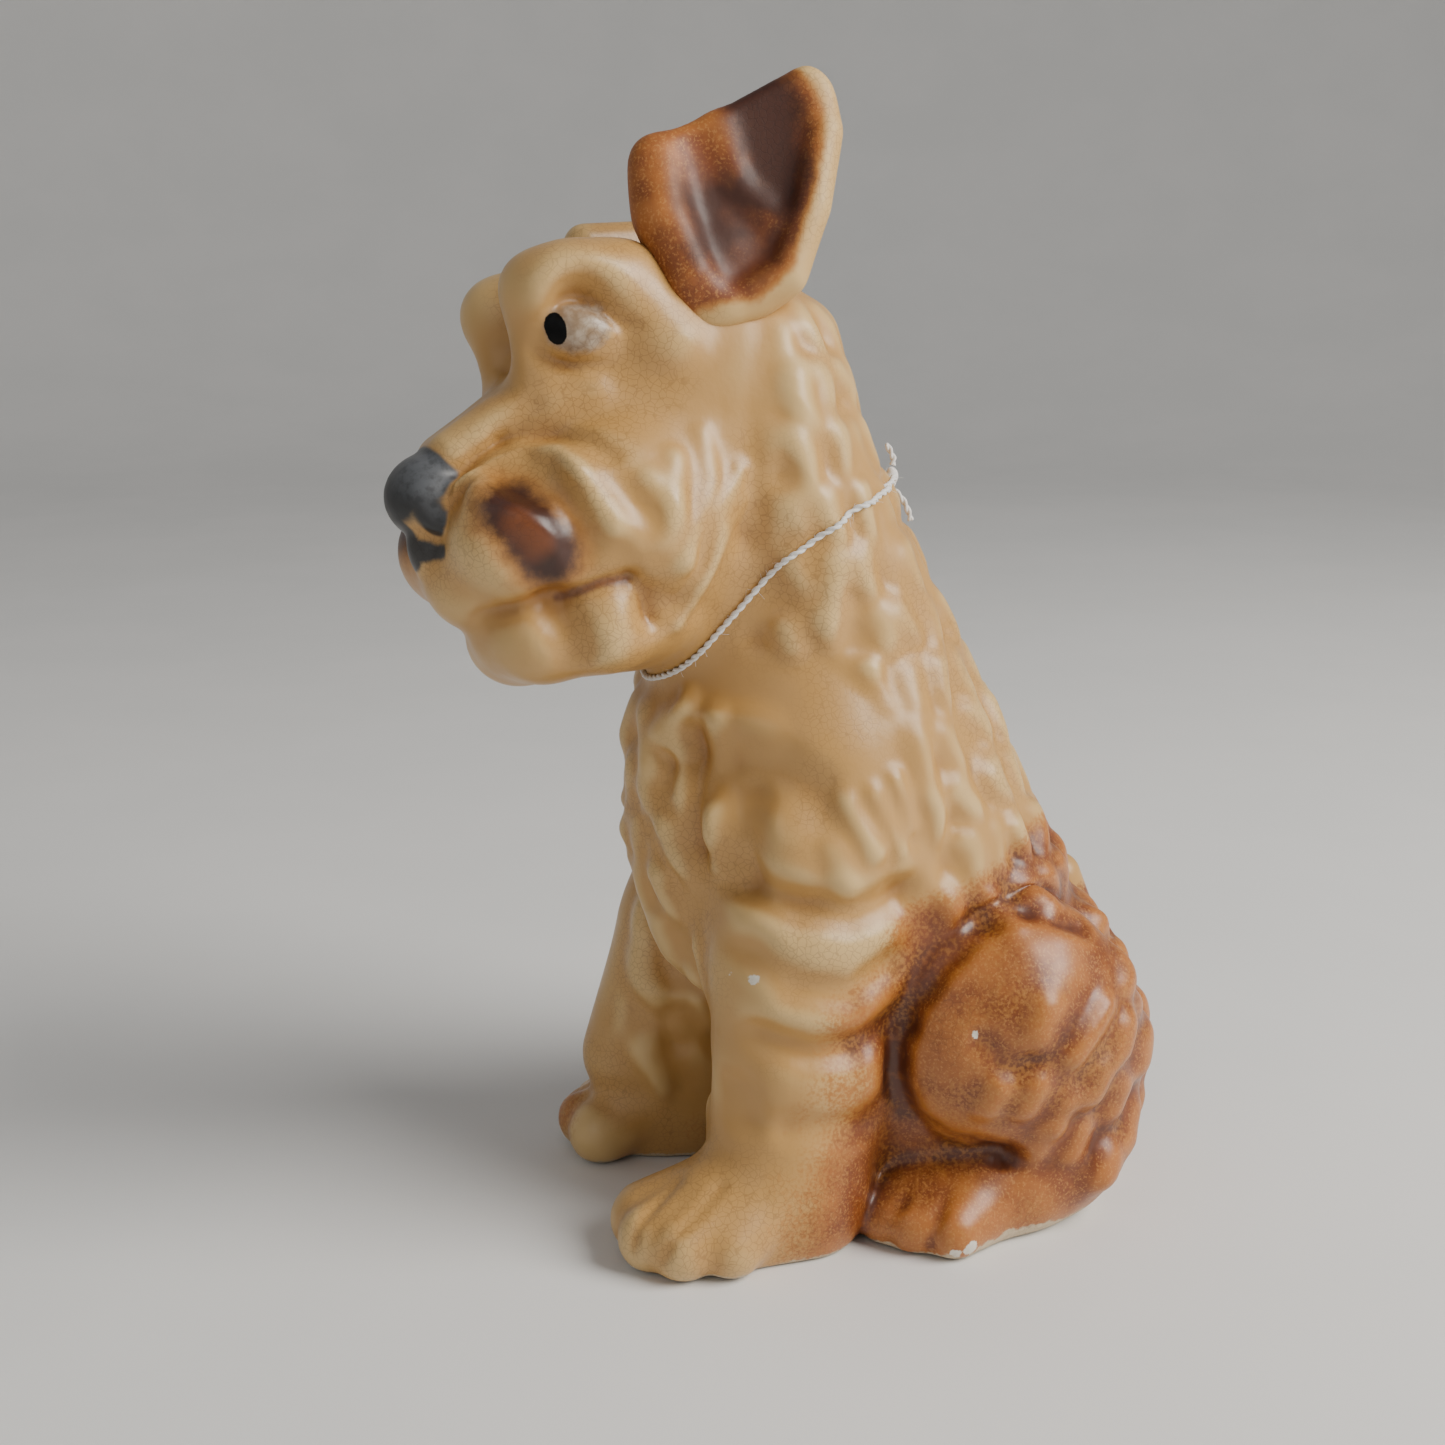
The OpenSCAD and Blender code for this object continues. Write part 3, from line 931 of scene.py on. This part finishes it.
def casting_glaze():
    m = Nodes("casting_glaze")
    ragged = m.uneven(0.5, 350, 4.0, 0.7)
    white = m.step(m.add(m.value("white"), m.times(ragged, 0.6)), 0.5, -0.9, 0, 0.85)
    pupil = m.step(m.add(m.value("pupil"), m.times(ragged, 0.22)), 0.1, -0.1)
    nose = m.step(m.add(m.value("nose"), m.times(ragged, 0.08)), 0.35, -0.35)
    bare = m.step(m.add(m.value("bare"), m.uneven(0.9, 120, 4.0, 0.7)), 1.25, 0.75)
    chip = m.step(m.add(m.value("chip"), ragged), 0.15, -0.15)
    eyeball = m.mix(m.step(m.noise(500, 4.0), 0.35, 0.7), EYE_GREY, EYE_PALE)
    grain = m.noise(900, 3.0)
    colour = lip_colour(m, sprayed_colour(m, m.value("hollow")), ragged)
    colour = nose_colour(m, m.mix(white, colour, eyeball), nose, ragged)
    colour = m.mix(pupil, colour, PUPIL_BLACK)
    colour = m.mix(bare, colour, m.mix(grain, BARE_CLAY, STAINED_CLAY))
    colour = m.mix(chip, colour, m.mix(grain, CHIP_WHITE, CHIP_GREY))
    rough = m.add(m.add(sheen(m), m.times(bare, 0.4)), m.times(nose, 0.08))
    rough = m.less(rough, m.times(white, 0.12))
    crazing = m.times(crazed(m, 0.42), m.less(1.0, nose))
    finish_glaze(m, colour, crazing, rough)
    m.surface("Coat Weight", m.less(COAT, m.times(pupil, 0.25)))
    m.surface("Specular IOR Level", m.less(SPECULAR, m.times(pupil, 0.35)))
    return m.material


def ear_glaze():
    """Brown that darkens to chocolate in the bowl of the ear, inside a honey rim."""
    m = Nodes("ear_glaze")
    hollow = m.value("hollow")
    dark = m.add(m.value("dark"), m.uneven(0.35, 90))
    colour = m.mix(m.step(dark, 0.0, 0.55, 0, 0.55), brown_colour(m, hollow), BROWN_POOL)
    colour = m.mix(m.step(dark, 0.35, 1.05), colour, CHOCOLATE)
    rim = m.add(m.value("rim"), m.uneven(0.15, 200, 4.0, 0.6))
    colour = m.mix(m.step(rim, 0.1, 0.5, 0, 0.8), colour, AMBER)
    colour = m.mix(m.step(rim, 0.35, 0.85), colour, honey_colour(m, hollow))
    return finish_glaze(m, colour, crazed(m, 0.4), sheen(m, 0.5, 0.62), 0.1)


def plain_honey_glaze():
    """Honey with the brown spray, for the folded ear and the tail."""
    m = Nodes("honey_glaze")
    hollow = m.value("hollow")
    sprayed = m.step(m.add(m.value("spray"), speckle(m, 0.22)), 0.25, 0.85)
    colour = m.mix(sprayed, honey_colour(m, hollow), brown_colour(m, hollow))
    return finish_glaze(m, colour, crazed(m, 0.4), sheen(m))


def cotton():
    m = Nodes("cotton")
    fibre = m.noise(2500, 4.0, 0.7)
    m.surface("Base Color", m.mix(fibre, COTTON_SHADE, COTTON_WHITE))
    m.surface("Normal", m.bump(fibre, 0.00008))
    m.surface("Roughness", 0.85)
    m.surface("Sheen Weight", 0.4)
    return m.material


# ---- string ----

STRING_D = 1.1
TWIST = 3.7  # length of string in which the two plies turn once
PLY_AT, PLY_R = 0.46, 0.60  # a ply's place off the middle and its radius, as parts of the string's radius
FIBRES, FIBRE_R = 160, 0.03  # how many hairs stand out of the string, and their radius
# The left half of the loop round the neck, from the knot at the nape to the throat
LOOP_HALF = (
    (8.3, 14.1, 134.6), (13.5, 12.2, 134.1), (18.6, 8.4, 133.5), (22.2, 4.2, 132.6), (24.4, 0, 131),
    (25, -4.3, 128.5), (24.5, -8.2, 125.6), (23.2, -12.2, 121.8), (21.4, -15.7, 117.6),
    (19, -19.2, 113.2), (16.5, -22.8, 108.6), (12.6, -25.2, 104.8), (7, -26.9, 102.2), (0, -27.8, 100.3),
)
# The rest of the loop, over the nape and back to the knot
NAPE = ((-3, 15.1, 134.8), (1.5, 15.3, 134.8), (4.5, 15, 134.7))
END_UP = ((6.5, 15.4, 136.8), (6.4, 15.6, 138), (5.9, 15.2, 139.3), (5.4, 14.6, 140.6))
END_DOWN = ((6.8, 15.7, 132.5), (7.4, 17, 131), (7.7, 18, 129), (7.6, 18.7, 127))
KNOT_AT = (6.4, 15, 134.6)


def lay_on(route, skin, skin_n, clear):
    """Moves a route to lie clear of the skin, bridging over the dips as a pulled string does."""
    route = route.copy()
    band = np.abs(skin[:, 2] - route[:, 2].mean()) < np.ptp(route[:, 2]) / 2 + 6
    skin, skin_n = skin[band], skin_n[band]
    for _ in range(9):
        for i in range(1, len(route) - 1):
            near = np.argpartition(((skin - route[i]) ** 2).sum(1), 12)[:12]
            need = clear - ((route[i] - skin[near]) * skin_n[near]).sum(1).mean()
            route[i] += skin_n[near].mean(0) * (need if need > 0 else 0.25 * need)
        pulled = route.copy()
        pulled[1:-1] = route[1:-1] * 0.5 + (route[:-2] + route[2:]) * 0.25
        route = pulled
    return route


def ring_quads(start, rings, sides):
    """Quads between rings of vertices that follow one another."""
    corners = ((0, 0), (0, 1), (1, 1), (1, 0))
    return [
        tuple(start + (i + up) * sides + (k + on) % sides for up, on in corners)
        for i in range(rings - 1) for k in range(sides)
    ]


def loose_fibres(route, count, rng):
    """Short bent hairs that stand out of the string, as thin tubes with three sides."""
    verts, quads = [], []
    for i in rng.integers(2, len(route) - 3, count):
        way = unit(route[i + 1] - route[i])
        out = unit(np.cross(way, rng.normal(size=3)))
        side = np.cross(way, out)
        lean, bend = way * rng.uniform(-1.2, 1.2), rng.normal(size=3) * 0.4
        reach = rng.uniform(0.5, 1.2)
        start = len(verts)
        for t in (0, 0.35, 0.7, 1):
            middle = route[i] + out * (0.3 + reach * t) + lean * t + bend * t * t
            for a in (0, 2.1, 4.2):
                verts.append(middle + (way * math.cos(a) + side * math.sin(a)) * FIBRE_R)
        quads += ring_quads(start, 4, 3)
    return np.array(verts, np.float32), np.array(quads, np.int64)


def twisted(route, plies=2, sides=10):
    """Vertices and quads of plies laid round one another along the route."""
    ways = unit(np.gradient(route, axis=0))
    run = np.concatenate([[0], np.cumsum(length(np.diff(route, axis=0)))])
    side = unit(np.cross(ways, vec(0.3, 0.1, 1)))
    up = np.cross(ways, side)
    ring = 2 * math.pi * np.arange(sides) / sides
    round_way = side[:, None] * np.cos(ring)[None, :, None] + up[:, None] * np.sin(ring)[None, :, None]
    full = np.ones(len(route))
    full[0] = full[-1] = 0.35  # the ends are drawn in
    radius = (STRING_D / 2 * PLY_R * full)[:, None, None]
    verts, quads = [], []
    for ply in range(plies):
        turn = 2 * math.pi * (run / TWIST + ply / plies)
        off = side * np.cos(turn)[:, None] + up * np.sin(turn)[:, None]
        middle = route + off * (STRING_D / 2) * PLY_AT
        verts.append((middle[:, None] + radius * round_way).reshape(-1, 3))
        quads += ring_quads(ply * len(verts[0]), len(route), sides)
    return np.concatenate(verts).astype(np.float32), np.array(quads, np.int64)


def knot_form(p):
    x, y, z = KNOT_AT
    return joined(
        oval(p, KNOT_AT, (1.7, 1.3, 1.2)),
        (0.5, oval(p, (x + 0.5, y + 0.3, z + 0.9), (0.9, 0.9, 1.2), 30)),
        (0.5, oval(p, (x - 0.5, y + 0.4, z - 0.9), (0.9, 0.9, 1.1), -30)),
    )


# ---- camera, light and floor ----

CAMERA_AZIMUTH = math.radians(73)
CAMERA_PITCH = math.radians(13)
CAMERA_OUT = 352.0  # from the aim point, measured level
CAMERA_HEIGHT = 172.0
CAMERA_AIM_Y = -10.2
LENS = 49.8


def make_camera():
    """Looks at the dog's left side, a little from the front and from above."""
    data = bpy.data.cameras.new("camera")
    data.lens = LENS
    data.sensor_width = 36
    cam = in_scene("camera", data)
    x, y = math.sin(CAMERA_AZIMUTH) * CAMERA_OUT, -math.cos(CAMERA_AZIMUTH) * CAMERA_OUT
    cam.location = (x * MM, (y + CAMERA_AIM_Y) * MM, CAMERA_HEIGHT * MM)
    cam.rotation_euler = (math.pi / 2 - CAMERA_PITCH, 0, CAMERA_AZIMUTH)
    bpy.context.scene.camera = cam


# Soft disks: name, azimuth and elevation in degrees, distance and size in metres, watts, colour
LIGHTS = (
    ("key", 140, 36, 1.1, 0.8, 19, (1, 0.97, 0.92)),
    ("fill", 40, 25, 1.3, 1.0, 1.4, (0.93, 0.96, 1)),
)
LIGHT_AIM = 0.1  # height the lights look at


def make_light(name, azimuth, elevation, distance, size, power, colour):
    data = bpy.data.lights.new(name, "AREA")
    data.shape = "DISK"
    data.size = size
    data.energy = power
    data.color = colour
    obj = in_scene(name, data)
    a, e = math.radians(azimuth), math.radians(elevation)
    level = distance * math.cos(e)
    obj.location = (level * math.sin(a), -level * math.cos(a), LIGHT_AIM + distance * math.sin(e))
    obj.rotation_euler = (math.pi / 2 - e, 0, a)


COVE_FLOOR, COVE_BEND, COVE_WALL = 1.3, 0.9, 1.2  # metres: level part, radius of the bend, wall above it
COVE_SIDES = 96
SKY = (0.75, 0.77, 0.8, 1)
SKY_STRENGTH = 0.32


def cove_mesh():
    """Vertices and faces of a round floor that bends up into a wall, as one surface."""
    profile = [(r, 0.0) for r in np.linspace(0.02, COVE_FLOOR, 12)]
    for a in np.linspace(0, math.pi / 2, 25)[1:]:
        profile.append((COVE_FLOOR + COVE_BEND * math.sin(a), COVE_BEND * (1 - math.cos(a))))
    profile.append((COVE_FLOOR + COVE_BEND, COVE_BEND + COVE_WALL))
    sides = COVE_SIDES
    verts = [(0.0, 0.0, 0.0)]
    for r, z in profile:
        verts += [(r * math.cos(a), r * math.sin(a), z) for a in np.arange(sides) * 2 * math.pi / sides]
    quads = [(0, 1 + k, 1 + (k + 1) % sides) for k in range(sides)]
    return verts, quads + [quad[::-1] for quad in ring_quads(1, len(profile), sides)]


def paper():
    """Pale studio paper with a faint mottle and grain."""
    m = Nodes("paper")
    tone = m.step(m.noise(9, 3.0, 0.6), 0.3, 0.7)
    m.surface("Base Color", m.mix(tone, PAPER_SHADE, PAPER_WHITE))
    m.surface("Normal", m.bump(m.noise(900, 3.0), 0.00004, 0.5))
    m.surface("Roughness", 0.7)
    return m.material


def make_stage():
    """The floor and an even pale sky."""
    floor = smooth_mesh("floor", *cove_mesh(), paper())
    world = bpy.data.worlds.new("world")
    bpy.context.scene.world = world
    world.use_nodes = True
    background = world.node_tree.nodes["Background"]
    background.inputs["Color"].default_value = SKY
    background.inputs["Strength"].default_value = SKY_STRENGTH


# ---- the pieces ----


def build_casting():
    """The casting with its relief and its painted areas; gives back its skin for the string."""
    verts, quads, normals = formed(casting_form, (-50, -84, -6), (50, 76, 186), 2, VOXEL)
    verts = verts + normals * sculpt_relief(verts, normals, quads)[:, None]
    verts = relax(verts, quads, 1)
    verts[verts[:, 2] < 0, 2] = 0
    normals = vertex_normals(verts, quads)
    casting = make_object("casting", verts, quads, casting_glaze(), "body_casting")
    local = head_local(verts)
    paint(casting, {
        **face_areas(local), **nose_areas(local), **body_areas(verts),
        "hollow": hollowness(verts, normals, quads, 5, 24),
        # how much the skin faces up and to the dog's left, which sets the painted highlight on the nose
        "sky": normals[:, 2] * 0.6 + normals[:, 0] * 0.4 + 0.2,
    })
    return verts, normals


def build_upright_ear():
    verts, quads, normals = formed(upright_ear_form, (-12, -50, 150), (44, 20, 212), 3)
    ear = make_object("ear_up", verts, quads, ear_glaze(), "upright_ear")
    flat = ear_frame(head_local(verts))
    front_side = ramp(-3.0, -0.5, flat[:, 2])
    rim = ((11, 20), (15.5, 12), (14.5, 4), (11, -6), (7, -17), (0, -22), (-10, -23))
    bowl = ((1, 14), (2, 2), (-5, -3), (-4, -11))
    paint(ear, {
        "hollow": hollowness(verts, normals, quads, 6, 24),
        "rim": np.maximum(ramp(5.0, 1.0, run_distance(flat[:, :2], rim)), 1 - front_side),
        "dark": ramp(13, 1, run_distance(flat[:, :2], bowl)) * front_side,
    })


def build_folded_ear(glaze):
    verts, quads, normals = formed(folded_ear_form, (-50, -52, 136), (8, 0, 196), 2)
    ear = make_object("ear_down", verts, quads, glaze, "folded_ear")
    paint(ear, {
        "hollow": hollowness(verts, normals, quads, 6, 24),
        "spray": ramp(168, 158, head_local(verts)[:, 2]) * 0.9,
    })


def build_tail(glaze):
    verts, quads, _ = formed(tail_form, (-16, 44, 26), (10, 74, 64), 2)
    tail = make_object("tail_stub", verts, quads, glaze, "tail")
    paint(tail, {"hollow": verts[:, 2] * 0, "spray": ramp(56, 50, verts[:, 2])})


def build_string(skin, skin_n):
    """The loop, laid on the casting's skin, with its ends and its knot."""
    white = cotton()
    loop = LOOP_HALF + tuple((-x, y, z) for x, y, z in LOOP_HALF[-2::-1]) + NAPE
    route = lay_on(smooth_route(loop, 14).astype(np.float32), skin, skin_n, STRING_D / 2 - 0.1)
    verts, quads = twisted(route)
    hairs, hair_quads = loose_fibres(route, FIBRES, np.random.default_rng(SEED))
    verts, quads = np.concatenate([verts, hairs]), np.concatenate([quads, hair_quads + len(verts)])
    string = make_object("neck_string", verts, quads, white, "neck_string")
    for name, points in (("string_end_up", END_UP), ("string_end_down", END_DOWN)):
        verts, quads = twisted(smooth_route(points, 8).astype(np.float32))
        make_object(name, verts, quads, white, name)
    verts, quads = field_mesh(knot_form, (2, 11, 130), (11, 19, 139), 0.2)
    make_object("string_knot", verts, quads, white, "string_knot")


make_camera()
make_stage()
for light in LIGHTS:
    make_light(*light)
casting_skin = build_casting()
build_upright_ear()
plain_glaze = plain_honey_glaze()
build_folded_ear(plain_glaze)
build_tail(plain_glaze)
build_string(*casting_skin)
